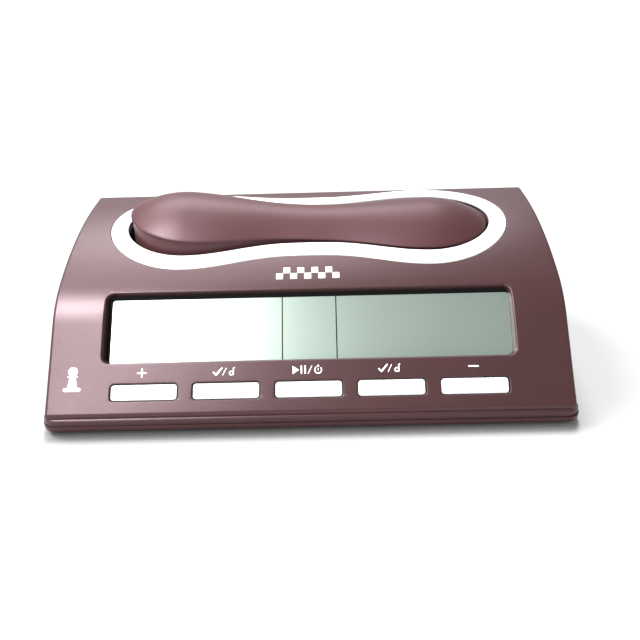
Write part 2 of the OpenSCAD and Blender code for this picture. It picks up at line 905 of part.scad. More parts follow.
// Coil that stands on a contact plate and points into the bay
module bay_coil(side, y) {
    translate([side * (bay_x - plate_gap - plate_t - 0.1), y, cell_z])
        rotate([0, -side * 90, 0]) coil(coil_r, coil_tip_r, coil_wire_r, coil_h, 3);
}

module battery_spring() {
    color(STEEL) {
        contact_plate(1, cell_y[1], 8.6);
        bay_coil(1, cell_y[1]);
    }
}

module battery_plate() {
    color(STEEL) contact_plate(1, cell_y[0], 8.6);
}

module battery_bridge() {
    color(STEEL) {
        contact_plate(-1, (cell_y[0] + cell_y[1]) / 2, 19.6);
        bay_coil(-1, cell_y[0]);
    }
}

module battery_wire_red() {
    color("red") wire([[27, 24.7, 12.6], [30, 20, 13], [33, -4, 14], [34, -8, 15.2]], wire_r);
}

module battery_wire_black() {
    color("black") wire([[27, 26.4, 12.8], [32, 21, 11.6], [36, -4, 12], [38, -8.6, 15.2]], wire_r);
}

module buzzer_disc() {
    color("goldenrod") translate([vent_at[0], vent_at[1], floor_z + buzzer_ledge]) {
        cylinder(r = buzzer_r, h = buzzer_t);
        translate([0, 0, buzzer_t]) cylinder(r = 7, h = 0.25);
    }
}

module buzzer_holder() {
    color("dimgray") translate([vent_at[0], vent_at[1], floor_z]) difference() {
        cylinder(r = buzzer_r + holder_wall, h = holder_h);
        translate([0, 0, -1]) cylinder(r = buzzer_r - holder_wall, h = 10);
        translate([0, 0, buzzer_ledge - 0.05]) cylinder(r = buzzer_r + slack, h = 10);
        // Notch for the wire
        translate([0, -1.5, buzzer_ledge + 0.4]) cube([20, 3, 4]);
    }
}

module buzzer_wire() {
    color("white") wire([[-37, 8, 6.4], [-36, -2, 9], [-35, -8.6, 15.2]], 0.5);
}

module case_screws() {
    color(STEEL) at_each(screw_at) translate([0, 0, boss_floor_z]) screw(2.8, 1.8, 1.05, 8.5);
}

module foot(i) {
    color("black") translate([foot_at[i][0], foot_at[i][1], 0]) cylinder(r = foot_r, h = foot_t);
}

module foot_front_left() {
    foot(0);
}

module foot_front_right() {
    foot(1);
}

module foot_back_left() {
    foot(2);
}

module foot_back_right() {
    foot(3);
}

upper_case();
lower_case();
trim_ring();
rocker_bed();
rocker_cap();
rocker_frame();
rocker_screws();
pivot_pin();
pivot_bush_front();
pivot_bush_rear();
push_rod_left();
push_rod_right();
rod_spring_left();
rod_spring_right();
switch_board();
contact_left();
contact_right();
switch_board_screws();
bed_screws();
lcd_front_glass();
lcd_rear_glass();
lcd_frame();
zebra_strip();
main_board();
controller_chip();
crystal();
board_components();
main_board_screws();
ribbon_cable();
keypad_mat();
key_plus();
key_confirm_left();
key_play();
key_confirm_right();
key_minus();
battery_door();
cell_front();
cell_rear();
battery_spring();
battery_plate();
battery_bridge();
battery_wire_red();
battery_wire_black();
buzzer_disc();
buzzer_holder();
buzzer_wire();
case_screws();
foot_front_left();
foot_front_right();
foot_back_left();
foot_back_right();
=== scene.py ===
"""Chess clock: the looks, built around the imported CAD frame. Shapes are worked out in
millimetres, X to the right, Y to the back and Z up, and mesh() turns them into metres."""

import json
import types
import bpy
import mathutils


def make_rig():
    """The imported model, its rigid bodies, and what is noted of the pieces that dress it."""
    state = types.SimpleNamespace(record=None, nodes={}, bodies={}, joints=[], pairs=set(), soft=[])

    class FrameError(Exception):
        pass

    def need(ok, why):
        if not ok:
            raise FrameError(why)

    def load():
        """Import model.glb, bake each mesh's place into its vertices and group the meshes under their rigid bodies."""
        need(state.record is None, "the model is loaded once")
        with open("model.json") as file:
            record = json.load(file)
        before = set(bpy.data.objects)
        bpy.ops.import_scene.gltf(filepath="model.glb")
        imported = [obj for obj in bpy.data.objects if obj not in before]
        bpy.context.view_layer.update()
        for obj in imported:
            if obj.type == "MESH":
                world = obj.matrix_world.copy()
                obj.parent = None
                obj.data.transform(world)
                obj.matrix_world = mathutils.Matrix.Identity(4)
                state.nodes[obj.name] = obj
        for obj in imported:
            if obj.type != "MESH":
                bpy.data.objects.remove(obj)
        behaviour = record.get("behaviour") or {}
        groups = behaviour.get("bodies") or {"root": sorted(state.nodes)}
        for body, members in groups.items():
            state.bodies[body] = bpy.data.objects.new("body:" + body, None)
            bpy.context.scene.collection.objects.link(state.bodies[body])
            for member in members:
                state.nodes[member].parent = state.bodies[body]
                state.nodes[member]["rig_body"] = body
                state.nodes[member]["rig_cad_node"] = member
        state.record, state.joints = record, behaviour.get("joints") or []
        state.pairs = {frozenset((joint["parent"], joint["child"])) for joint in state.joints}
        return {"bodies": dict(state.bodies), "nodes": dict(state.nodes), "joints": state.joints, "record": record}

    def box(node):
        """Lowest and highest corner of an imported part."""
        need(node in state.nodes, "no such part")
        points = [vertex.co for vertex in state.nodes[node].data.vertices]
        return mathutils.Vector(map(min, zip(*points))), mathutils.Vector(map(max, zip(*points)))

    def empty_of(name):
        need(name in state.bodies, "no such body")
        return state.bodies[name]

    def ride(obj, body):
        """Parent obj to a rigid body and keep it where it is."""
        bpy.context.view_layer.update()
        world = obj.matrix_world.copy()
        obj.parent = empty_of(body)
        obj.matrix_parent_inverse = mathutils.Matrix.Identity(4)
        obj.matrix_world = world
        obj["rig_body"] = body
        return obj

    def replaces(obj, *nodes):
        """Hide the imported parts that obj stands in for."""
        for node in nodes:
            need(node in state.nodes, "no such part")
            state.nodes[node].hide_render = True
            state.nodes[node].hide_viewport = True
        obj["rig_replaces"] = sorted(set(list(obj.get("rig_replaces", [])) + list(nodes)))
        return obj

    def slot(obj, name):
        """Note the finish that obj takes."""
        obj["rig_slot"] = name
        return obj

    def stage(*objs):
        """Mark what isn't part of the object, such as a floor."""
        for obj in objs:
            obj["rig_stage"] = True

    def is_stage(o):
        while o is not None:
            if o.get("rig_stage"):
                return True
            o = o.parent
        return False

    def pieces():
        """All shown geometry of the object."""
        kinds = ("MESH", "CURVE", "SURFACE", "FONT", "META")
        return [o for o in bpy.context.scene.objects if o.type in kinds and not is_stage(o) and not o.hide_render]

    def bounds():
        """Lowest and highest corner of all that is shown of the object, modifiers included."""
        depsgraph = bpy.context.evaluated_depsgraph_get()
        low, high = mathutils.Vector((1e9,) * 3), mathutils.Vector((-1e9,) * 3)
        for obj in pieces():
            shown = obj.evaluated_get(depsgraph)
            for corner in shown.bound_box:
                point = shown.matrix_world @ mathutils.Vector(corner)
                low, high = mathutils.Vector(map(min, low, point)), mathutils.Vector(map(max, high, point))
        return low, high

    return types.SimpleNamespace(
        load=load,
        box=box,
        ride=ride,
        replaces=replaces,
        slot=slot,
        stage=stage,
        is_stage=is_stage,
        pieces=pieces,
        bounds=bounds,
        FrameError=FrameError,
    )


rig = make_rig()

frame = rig.load()

import json
import math

import bmesh
import bpy
import numpy as np
from mathutils import Matrix, Vector
from mathutils.geometry import delaunay_2d_cdt

MM = 0.001
nodes = frame["nodes"]
cad_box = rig.bounds()


def box_mm(node):
    """Lowest and highest corners of a CAD node in millimetres."""
    low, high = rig.box(node)
    return low / MM, high / MM


# ---------- sizes ----------

case_low, case_high = box_mm("upper_case")
base_low, base_high = box_mm("lower_case")

# Side profile of the upper case
BODY_W = 156.0
WALL = 2.4
FACE_ANGLE = 45.5
FACE_LEN = 26.8
SHOULDER_R = 36.5
SHOULDER_ANGLE = 23.7
CROWN_R = 123.6
CROWN_ANGLE = 3.0
TOP_LEN = 6.5
BACK_EDGE_R = 1.2
BACK_ANGLE = -86.0
FOOT_R = 1.5
FOOT_DROP = 0.6
FRONT_Y = base_low.y + 1.6
FOOT_Z = 6.7
SEAM_Z = case_low.z
BACK_Y = case_high.y - 0.6
SIDE_R = 1.2
INNER_STRAIGHT_X = 62.0
FLANGE_R = 4.0
BASE_R = 4.2
FLANGE_TOP_Z = 4.4
FLANGE_CHAMFER_Z = 5.0
FLAT_X = BODY_W / 2 - SIDE_R

# Rocker and ring
ROCKER_Y = FRONT_Y + 57.5
PIVOT_Z = 34.0
TILT = 2.9
RIM_Z = 41.8
RIM_PITCH = 0.16
RIM_BOW = 2.3
LOBE_X = 39.9
LOBE_A = 27.1
LOBE_B = 22.3
WAIST_B = 17.6
RING_W = 5.8
ROCKER_GAP = 1.2
DOME_LOBE = 6.1
DOME_WAIST = 4.4
SKIRT_H = 10.1
CAP_WALL = 2.0

# Window, glass and keys, on the panel
WINDOW_W = 123.8
WINDOW_H = 22.1
WINDOW_P0 = 14.7
WINDOW_R = 2.4
WINDOW_DRAFT = 0.6
GLASS_DEPTH = 2.8
GLASS_T = 1.1
GLASS_W = 128.0
GLASS_P0 = 12.6
GLASS_P1 = 38.0
# Widths of the black strip round the display's clear field: a narrow frame, widened at the left and top with painted
# shade of the window's walls
BORDER_LEFT = 1.6
BORDER_RIGHT = 0.5
BORDER_TOP = 2.0
LINES = (("display_line_left", -7.9), ("display_line_right", 8.6))
LINE_W = 0.36
KEY_W = 19.7
KEY_H = 4.7
KEY_R = 1.0
KEY_P = 5.85
KEY_PITCH = 24.4
KEY_SINK = 0.3
KEY_CLEAR = 0.25
KEY_EDGE = 0.35
KEY_CROWN = 0.07
KEY_FLANGE = 0.8
KEY_FLANGE_DEPTH = WALL + 0.1
KEY_STEM_W, KEY_STEM_H, KEY_STEM_R = 6, 2.8, 1
KEY_STEM_DEPTH = 4.4
KEYS = ["key_plus", "key_confirm_left", "key_play", "key_confirm_right", "key_minus"]

# Printed marks
INK_H = 0.03
INK_ROOT = 0.05
BOLD, THIN, ROUND = 0.45, 0.28, 0.32
CHEQUER, CHEQUER_PITCH = 2.1, 2.2


# ---------- mesh building ----------

def quarter(steps):
    """Angles from 0 to a right angle, for a rounded edge."""
    return [math.pi / 2 * k / steps for k in range(steps + 1)]


class Builder:
    """Gathers rings of points and the faces between them, and welds what meets."""

    def __init__(self):
        self.points, self.faces = [], []

    def add(self, ring):
        start = len(self.points)
        self.points += [tuple(p) for p in ring]
        return list(range(start, len(self.points)))

    def rings(self, rings, closed=True, capped=False):
        """Quads from each ring to the next; capped fills the first and last ring."""
        ids = [self.add(r) for r in rings]
        for a, b in zip(ids, ids[1:]):
            n = len(a)
            for i in range(n if closed else n - 1):
                j = (i + 1) % n
                self.faces.append((a[i], a[j], b[j], b[i]))
        if capped:
            self.faces += [tuple(reversed(ids[0])), tuple(ids[-1])]

    def tube(self, rings):
        """A ring of sections that closes on itself, such as a frame's."""
        self.rings(list(rings) + [rings[0]])

    def triangles(self, points, triangles):
        ids = self.add(points)
        self.faces += [tuple(ids[i] for i in t) for t in triangles]

    def mesh(self, name, material, body, slot=None, replaces=(), matrix=None, bevel=None):
        bm = bmesh.new()
        made = [bm.verts.new(Vector(p) * MM) for p in self.points]
        for face in self.faces:
            try:
                bm.faces.new([made[i] for i in face])
            except ValueError:      # the same face again
                continue
        bmesh.ops.remove_doubles(bm, verts=bm.verts, dist=2e-3 * MM)
        bmesh.ops.dissolve_degenerate(bm, edges=bm.edges, dist=1e-3 * MM)
        bmesh.ops.recalc_face_normals(bm, faces=bm.faces)
        data = bpy.data.meshes.new(name)
        bm.to_mesh(data)
        bm.free()
        if matrix is not None:
            data.transform(matrix)
        data.shade_smooth()
        piece = bpy.data.objects.new(name, data)
        bpy.context.scene.collection.objects.link(piece)
        data.materials.append(material)
        if bevel:
            soften(piece, bevel)
        else:
            weighted_normals(piece)
        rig.ride(piece, body)
        if slot:
            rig.slot(piece, slot)
        if replaces:
            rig.replaces(piece, *replaces)
        return piece


def weighted_normals(piece):
    """Flat faces keep their own shading beside rounded edges."""
    modifier = piece.modifiers.new("weighted_normals", "WEIGHTED_NORMAL")
    modifier.weight = 80
    modifier.keep_sharp = True


def soften(piece, width, segments=2):
    """Welds a CAD mesh, joins its coplanar triangles and rounds its edges."""
    weld = piece.modifiers.new("weld", "WELD")
    weld.merge_threshold = 1e-6
    planar = piece.modifiers.new("planar", "DECIMATE")
    planar.decimate_type = "DISSOLVE"
    planar.angle_limit = math.radians(1)
    bevel = piece.modifiers.new("bevel", "BEVEL")
    bevel.width = width * MM
    bevel.segments = segments
    bevel.limit_method = "ANGLE"
    bevel.angle_limit = math.radians(40)
    bevel.harden_normals = False
    weighted_normals(piece)


def inside(points, loop):
    """Which of the 2D points lie inside the closed loop."""
    p, a = np.asarray(points, float), np.asarray(loop, float)
    b = np.roll(a, -1, axis=0)
    crossings = np.zeros(len(p), int)
    for (x0, y0), (x1, y1) in zip(a, b):
        if y0 == y1:
            continue
        across = (p[:, 1] >= min(y0, y1)) & (p[:, 1] < max(y0, y1))
        crossings += across & (p[:, 0] < x0 + (p[:, 1] - y0) * (x1 - x0) / (y1 - y0))
    return crossings % 2 == 1


def triangulate(outer, holes=(), spots=(), lines=()):
    """Points and triangles that fill a 2D outline with holes, through extra points and lines."""
    loops = [outer, *holes]
    points = [Vector(p) for loop in loops for p in loop]
    edges, start = [], 0
    for loop in loops:
        edges += [(start + i, start + (i + 1) % len(loop)) for i in range(len(loop))]
        start += len(loop)
    for line in lines:
        points += [Vector(p) for p in line]
        edges += [(start + i, start + i + 1) for i in range(len(line) - 1)]
        start += len(line)
    points += [Vector(p) for p in spots]
    points, _, faces, *_ = delaunay_2d_cdt(points, edges, [], 0, 1e-7)
    middles = np.array([sum((points[i] for i in f), Vector((0, 0))) / len(f) for f in faces])
    keep = inside(middles, outer)
    for hole in holes:
        keep &= ~inside(middles, hole)
    return points, [f for f, k in zip(faces, keep) if k]


# ---------- side profile of the upper case ----------

class Profile:
    """Straights and outward bends in the YZ plane, by the distance along them."""

    def __init__(self, y, z, slope):
        self.y, self.z, self.slope, self.length = y, z, slope, 0.0
        self.parts, self.stations = [], [0.0]

    def _go(self, length, radius, steps):
        self.parts.append((self.length, self.y, self.z, self.slope, radius))
        self.stations += [self.length + length * i / steps for i in range(1, steps + 1)]
        self.length += length
        self.y, self.z, self.slope = self.at(self.length)

    def line(self, length, steps=1):
        self._go(length, 0.0, steps)

    def line_to(self, y, z, steps=1):
        self.slope = math.degrees(math.atan2(z - self.z, y - self.y))
        self.line(math.hypot(y - self.y, z - self.z), steps)

    def bend(self, radius, to_slope, steps):
        self._go(radius * math.radians(self.slope - to_slope), radius, steps)

    def at(self, s):
        """Y, Z and slope in degrees at distance s."""
        start, y, z, slope, radius = next(p for p in reversed(self.parts)
                                          if s >= p[0] - 1e-9 or p is self.parts[0])
        a0 = math.radians(slope)
        if not radius:
            return y + (s - start) * math.cos(a0), z + (s - start) * math.sin(a0), slope
        a = a0 - (s - start) / radius
        return (y + radius * (math.sin(a0) - math.sin(a)),
                z + radius * (math.cos(a) - math.cos(a0)), math.degrees(a))

    def point(self, x, s, depth=0.0):
        """The point at x and s, that deep under the surface."""
        y, z, slope = self.at(s)
        a = math.radians(slope)
        return Vector((x, y + depth * math.sin(a), max(SEAM_Z, z - depth * math.cos(a))))

    def find(self, key, value, low, high):
        """The distance where key(y, z), which grows along the profile, reaches value."""
        for _ in range(30):
            middle = (low + high) / 2
            y, z, _slope = self.at(middle)
            low, high = (middle, high) if key(y, z) < value else (low, middle)
        return (low + high) / 2


panel_a = math.radians(FACE_ANGLE)
TOE_Y = FRONT_Y - FOOT_DROP * math.cos(panel_a)
TOE_Z = FOOT_Z - FOOT_DROP * math.sin(panel_a)
foot_tangent = FOOT_R * math.tan(math.radians(90 - FACE_ANGLE) / 2)

side = Profile(TOE_Y, SEAM_Z, 90)
side.line(TOE_Z - foot_tangent - SEAM_Z)
side.bend(FOOT_R, FACE_ANGLE, 4)
panel_start = side.length
side.line(FACE_LEN + FOOT_DROP - foot_tangent, 8)
side.bend(SHOULDER_R, SHOULDER_ANGLE, 14)
side.bend(CROWN_R, CROWN_ANGLE, 36)
side.line(TOP_LEN, 3)
crown_end = side.length
side.bend(BACK_EDGE_R, BACK_ANGLE, 6)
back_start = side.length
side.line_to(BACK_Y, SEAM_Z, 8)


def panel_key(y, z):
    """Distance up the panel from its foot, for a point of the profile."""
    return (y - FRONT_Y) * math.cos(panel_a) + (z - FOOT_Z) * math.sin(panel_a)


def panel_point(x, p, depth=0.0):
    """The point at x and p up the panel's plane, that deep under it."""
    return Vector((x, FRONT_Y + p * math.cos(panel_a) + depth * math.sin(panel_a),
                   FOOT_Z + p * math.sin(panel_a) - depth * math.cos(panel_a)))


INTO_PANEL = Vector((0, math.sin(panel_a), -math.cos(panel_a)))
DOWN = Vector((0, 0, -1))


def along_panel(p):
    return side.find(panel_key, p, panel_start, crown_end)


def along_crown(y):
    return side.find(lambda py, pz: py, y, panel_start, crown_end)


def top_z(y):
    return side.at(along_crown(y))[1]


def tight_corner(start, end):
    """For a bend too tight for the wall: its distances, and the inner skin's sharp corner with
    the directions before and after it."""
    before, after = side.point(0, start, WALL), side.point(0, end, WALL)
    a = math.radians(side.at(start)[2])
    b = math.radians(side.at(end + 1e-6)[2])
    way_in = Vector((0, math.cos(a), math.sin(a)))
    way_out = Vector((0, math.cos(b), math.sin(b)))
    gap = after - before
    reach = (gap.y * math.sin(b) - gap.z * math.cos(b)) / math.sin(b - a)
    return start, end, before + reach * way_in, way_in, way_out


inner_corners = [
    tight_corner(panel_start - FOOT_R * math.radians(90 - FACE_ANGLE), panel_start),
    tight_corner(crown_end, back_start)]


def inner_point(x, s):
    """The point of the upper case's inner skin behind its outer skin at x and s."""
    q = side.point(0, s, WALL)
    for start, end, corner, way_in, way_out in inner_corners:
        near = start - 4 < s < end + 4
        if near and (start < s < end or (s <= start and (corner - q).dot(way_in) < 0)
                     or (s >= end and (q - corner).dot(way_out) < 0)):
            q = Vector((0, corner.y, corner.z))
    # A pocket for the display glass
    p = panel_key(q.y, q.z)
    depth = (q.y - FRONT_Y) * math.sin(panel_a) - (q.z - FOOT_Z) * math.cos(panel_a)
    if abs(x) < GLASS_W / 2 + 0.4 and GLASS_P0 < p < GLASS_P1 + 0.4 and depth > GLASS_DEPTH:
        q = panel_point(0, p, GLASS_DEPTH - 0.02)
    # Straight behind the keys and the window, and drawn in towards the ends
    past = max(abs(x) - INNER_STRAIGHT_X, 0)
    share = past / (FLAT_X - INNER_STRAIGHT_X)
    return Vector((x - math.copysign(share * (WALL - SIDE_R), x), q.y, max(q.z, SEAM_Z)))


# ---------- outlines ----------

def rounded_rect(w, h, r, middle=(0, 0), corner_steps=6, step=3.0):
    """outline(inset) of a rectangle with round corners, always with the same points."""
    def outline(inset):
        points = []
        corners = ((1, -1, -90), (1, 1, 0), (-1, 1, 90), (-1, -1, 180))
        for k, (sx, sy, turn) in enumerate(corners):
            cx, cy = middle[0] + sx * (w / 2 - r), middle[1] + sy * (h / 2 - r)
            for i in range(corner_steps + 1):
                a = math.radians(turn + 90 * i / corner_steps)
                points.append((cx + (r - inset) * math.cos(a), cy + (r - inset) * math.sin(a)))
            tx, ty, _turn = corners[(k + 1) % 4]
            nx, ny = middle[0] + tx * (w / 2 - r), middle[1] + ty * (h / 2 - r)
            count = max(1, round(math.hypot(nx - cx, ny - cy) / step))
            a = math.radians(turn + 90)
            for i in range(1, count):
                points.append((cx + (nx - cx) * i / count + (r - inset) * math.cos(a),
                               cy + (ny - cy) * i / count + (r - inset) * math.sin(a)))
        return points
    return outline


def peanut(inset, lobe_steps=28, waist_steps=64):
    """The ring's outer edge, set in, as points about the rocker's middle."""
    a, b, w = LOBE_A - inset, LOBE_B - inset, WAIST_B - inset

    def lobe(i, middle):
        turn = math.radians(90 * i / lobe_steps)
        return middle + a * math.cos(turn), b * math.sin(turn)

    def waist(x):
        t = (LOBE_X - abs(x)) / LOBE_X
        return b - (b - w) * (1 - (1 - t * t) ** 3.4)

    xs = [LOBE_X * (1 - 2 * i / waist_steps) for i in range(waist_steps)]
    return ([lobe(i, LOBE_X) for i in range(lobe_steps)]
            + [(x, waist(x)) for x in xs]
            + [lobe(i, -LOBE_X) for i in range(lobe_steps, 3 * lobe_steps)]
            + [(-x, -waist(x)) for x in xs]
            + [lobe(i, LOBE_X) for i in range(3 * lobe_steps, 4 * lobe_steps)])


def ring_outline(inset):
    return [(x, ROCKER_Y + y) for x, y in peanut(inset)]


class Hole:
    """A hole in the upper case's skin: outline(inset) gives points (x, q)."""

    def __init__(self, outline, along, cut, edge_r):
        self.outline, self.along, self.cut, self.edge_r = outline, along, cut, edge_r

    def flat(self, inset):
        """The outline unrolled onto the skin, as (x, distance along the profile)."""
        return [(x, self.along(q)) for x, q in self.outline(inset)]

    def ring(self, inset, drop=0.0):
        return [side.point(x, s) + self.cut * drop for x, s in self.flat(inset)]

    def lip(self, steps=4):
        """Rings that round the hole's outer edge over."""
        r = self.edge_r
        return [self.ring(-r + r * math.sin(t), r * (1 - math.cos(t))) for t in quarter(steps)]

    def back(self):
        return [inner_point(x, s) for x, s in self.flat(-self.edge_r)]


# ---------- materials ----------

def material(name):
    made = bpy.data.materials.new(name)
    made.use_nodes = True
    tree = made.node_tree
    shader = tree.nodes["Principled BSDF"]
    return made, tree, shader


def noise(tree, scale, detail=2.0, roughness=0.5):
    """Noise by the place on the object, in features per metre."""
    where = tree.nodes.new("ShaderNodeTexCoord")
    made = tree.nodes.new("ShaderNodeTexNoise")
    made.inputs["Scale"].default_value = scale
    made.inputs["Detail"].default_value = detail
    made.inputs["Roughness"].default_value = roughness
    tree.links.new(where.outputs["Object"], made.inputs["Vector"])
    return made.outputs["Fac"]


def ramp(tree, value, start, end, low, high):
    """Maps start-end onto low-high."""
    made = tree.nodes.new("ShaderNodeMapRange")
    made.inputs["From Min"].default_value = start
    made.inputs["From Max"].default_value = end
    made.inputs["To Min"].default_value = low
    made.inputs["To Max"].default_value = high
    tree.links.new(value, made.inputs["Value"])
    return made.outputs["Result"]


def spread(tree, fac, low, high):
    """Maps a noise's usual range onto low-high."""
    return ramp(tree, fac, 0.3, 0.7, low, high)


def tint(tree, fac, dark, light):
    """Colour from dark to light by a noise."""
    made = tree.nodes.new("ShaderNodeMix")
    made.data_type = "RGBA"
    made.inputs["A"].default_value = (*dark, 1)
    made.inputs["B"].default_value = (*light, 1)
    tree.links.new(spread(tree, fac, 0, 1), made.inputs["Factor"])
    return made.outputs["Result"]


def bump(tree, shader, heights, distance, strength=1.0):
    """Bump from one or more heights, each given as (fac, share)."""
    total = None
    for fac, share in heights:
        scaled = tree.nodes.new("ShaderNodeMath")
        scaled.operation = "MULTIPLY_ADD"
        scaled.inputs[1].default_value = share
        scaled.inputs[2].default_value = 0.0
        tree.links.new(fac, scaled.inputs[0])
        if total is not None:
            tree.links.new(total, scaled.inputs[2])
        total = scaled.outputs[0]
    made = tree.nodes.new("ShaderNodeBump")
    made.inputs["Distance"].default_value = distance * MM
    made.inputs["Strength"].default_value = strength
    tree.links.new(total, made.inputs["Height"])
    tree.links.new(made.outputs["Normal"], shader.inputs["Normal"])


def moulded(name, colour, vary, rough, grain_mm, depth_mm, spec=0.5, sheen=(1, 1, 1)):
    """Moulded plastic: spark-eroded grain, faint colour drift and uneven gloss."""
    made, tree, shader = material(name)
    drift = noise(tree, 60, 3)
    grain = noise(tree, 1000 / grain_mm, 3, 0.6)
    fine = noise(tree, 2400 / grain_mm, 1)
    light = tuple(min(1, c * (1 + vary)) for c in colour)
    dark = tuple(c * (1 - vary) for c in colour)
    tree.links.new(tint(tree, drift, dark, light), shader.inputs["Base Color"])
    tree.links.new(spread(tree, grain, rough - 0.04, rough + 0.04), shader.inputs["Roughness"])
    shader.inputs["Specular IOR Level"].default_value = spec
    shader.inputs["Specular Tint"].default_value = (*sheen, 1)
    bump(tree, shader, [(grain, 1.0), (fine, 0.4)], depth_mm)
    return made


def metal(name, colour, rough, scratch_mm=0.15):
    made, tree, shader = material(name)
    patches = noise(tree, 1000 / scratch_mm / 6, 4)
    light = tuple(min(1, c * 1.06) for c in colour)
    dark = tuple(c * 0.86 for c in colour)
    tree.links.new(tint(tree, patches, dark, light), shader.inputs["Base Color"])
    tree.links.new(spread(tree, patches, rough - 0.08, rough + 0.1), shader.inputs["Roughness"])
    shader.inputs["Metallic"].default_value = 1.0
    bump(tree, shader, [(noise(tree, 1000 / scratch_mm, 2), 1.0)], 0.01)
    return made


def board_mask(name):
    """Green solder mask over faint copper tracks."""
    made, tree, shader = material(name)
    where = tree.nodes.new("ShaderNodeTexCoord")
    bricks = tree.nodes.new("ShaderNodeTexBrick")
    bricks.inputs["Scale"].default_value = 160
    bricks.inputs["Mortar Size"].default_value = 0.06
    bricks.inputs["Color1"].default_value = (0.010, 0.075, 0.026, 1)
    bricks.inputs["Color2"].default_value = (0.012, 0.095, 0.034, 1)
    bricks.inputs["Mortar"].default_value = (0.030, 0.170, 0.060, 1)
    tree.links.new(where.outputs["Object"], bricks.inputs["Vector"])
    tree.links.new(bricks.outputs["Color"], shader.inputs["Base Color"])
    shader.inputs["Roughness"].default_value = 0.3
    bump(tree, shader, [(bricks.outputs["Fac"], 1.0), (noise(tree, 900), 0.3)], 0.03)
    return made


def display_film(name):
    """Blank reflective display: a pearly grey-green film under polished glass."""
    made, tree, shader = material(name)
    cloud = noise(tree, 25, 2)
    tree.links.new(tint(tree, cloud, (0.365, 0.445, 0.395), (0.375, 0.457, 0.405)),
                   shader.inputs["Base Color"])
    tree.links.new(spread(tree, cloud, 0.31, 0.33), shader.inputs["Roughness"])
    shader.inputs["Metallic"].default_value = 0.7
    shader.inputs["Coat Weight"].default_value = 1.0
    shader.inputs["Coat Roughness"].default_value = 0.04
    return made


PINK = (1.0, 0.80, 0.87)
maroon = moulded("maroon_plastic", (0.048, 0.0210, 0.0220), 0.05, 0.35, 0.42, 0.022, sheen=PINK)
maroon_smooth = moulded("maroon_rocker_plastic", (0.062, 0.0220, 0.0250), 0.05, 0.44, 0.36, 0.010,
                        sheen=PINK)
dark_plastic = moulded("dark_plastic", (0.012, 0.008, 0.009), 0.1, 0.5, 0.3, 0.01)
white_plastic = moulded("white_plastic", (0.78, 0.78, 0.77), 0.01, 0.32, 0.8, 0.003)
key_plastic = moulded("key_plastic", (0.80, 0.80, 0.79), 0.01, 0.38, 0.5, 0.004)
natural_plastic = moulded("natural_plastic", (0.66, 0.66, 0.62), 0.03, 0.45, 0.5, 0.006)
print_ink = moulded("print_ink", (0.90, 0.90, 0.91), 0.02, 0.5, 0.2, 0.004)
rubber = moulded("foot_rubber", (0.018, 0.018, 0.018), 0.15, 0.7, 0.25, 0.02, spec=0.3)
grey_rubber = moulded("mat_rubber", (0.10, 0.10, 0.105), 0.08, 0.6, 0.25, 0.015, spec=0.3)
pink_rubber = moulded("strip_rubber", (0.50, 0.24, 0.27), 0.1, 0.6, 0.2, 0.01, spec=0.3)
steel = metal("zinc_steel", (0.60, 0.61, 0.63), 0.3)
nickel = metal("nickel", (0.66, 0.63, 0.58), 0.25)
brass = metal("brass", (0.70, 0.48, 0.17), 0.3)
gold = metal("gold_plate", (0.86, 0.60, 0.20), 0.22)
mask = board_mask("solder_mask")
resin = moulded("resin", (0.008, 0.008, 0.009), 0.1, 0.25, 2.0, 0.05)
sleeve = moulded("cell_sleeve", (0.010, 0.010, 0.013), 0.1, 0.28, 1.2, 0.004)
ribbon = moulded("ribbon_insulation", (0.42, 0.42, 0.42), 0.06, 0.45, 0.6, 0.01)
wire_red = moulded("wire_red", (0.36, 0.012, 0.010), 0.05, 0.4, 0.5, 0.005)
wire_black = moulded("wire_black", (0.01, 0.01, 0.01), 0.05, 0.4, 0.5, 0.005)
wire_white = moulded("wire_white", (0.7, 0.7, 0.68), 0.03, 0.4, 0.5, 0.005)
film = display_film("display_film")
# Flat black for the display's frame and for the painted shade beside the window's left and top walls
black_print = moulded("black_print", (0.004, 0.004, 0.004), 0.1, 0.8, 0.5, 0.002, spec=0.05)
film_rear = moulded("rear_glass", (0.22, 0.26, 0.24), 0.04, 0.2, 1.5, 0.002)
divider_ink = moulded("divider_ink", (0.012, 0.020, 0.018), 0.1, 0.6, 0.3, 0.002, spec=0.05)


# ---------- upper case ----------

def panel_hole(outline, edge_r):
    return Hole(outline, along_panel, INTO_PANEL, edge_r)


window = rounded_rect(WINDOW_W, WINDOW_H, WINDOW_R, (0, WINDOW_P0 + WINDOW_H / 2), 8, 2.0)


def key_outline(index, grow=0.0):
    return rounded_rect(KEY_W + 2 * grow, KEY_H + 2 * grow, KEY_R + grow,
                        (index * KEY_PITCH, KEY_P), 6, 2.4)


def add_skins(skin, xs, holes):
    """Outer and inner skin, unrolled as x by the distance along the profile."""
    stations = side.stations
    outer = ([(x, 0.0) for x in xs] + [(FLAT_X, s) for s in stations[1:-1]]
             + [(x, side.length) for x in reversed(xs)]
             + [(-FLAT_X, s) for s in reversed(stations[1:-1])])
    loops = [h.flat(-h.edge_r) for h in holes]
    spots = np.array([(x, s) for x in xs[1:-1] for s in stations[1:-1]])
    for h in holes:
        spots = spots[~inside(spots, h.flat(-h.edge_r - 0.7))]
    # The rows over the back edge run unbroken behind the ring, which is the last hole
    ring_back = max(s for _x, s in loops[-1])
    lines = [[(x, s) for x in xs] for s in stations[1:-1] if s > ring_back + 0.02]
    points, triangles = triangulate(outer, loops, spots, lines)
    skin.triangles([side.point(x, s) for x, s in points], triangles)
    skin.triangles([inner_point(x, s) for x, s in points], triangles)


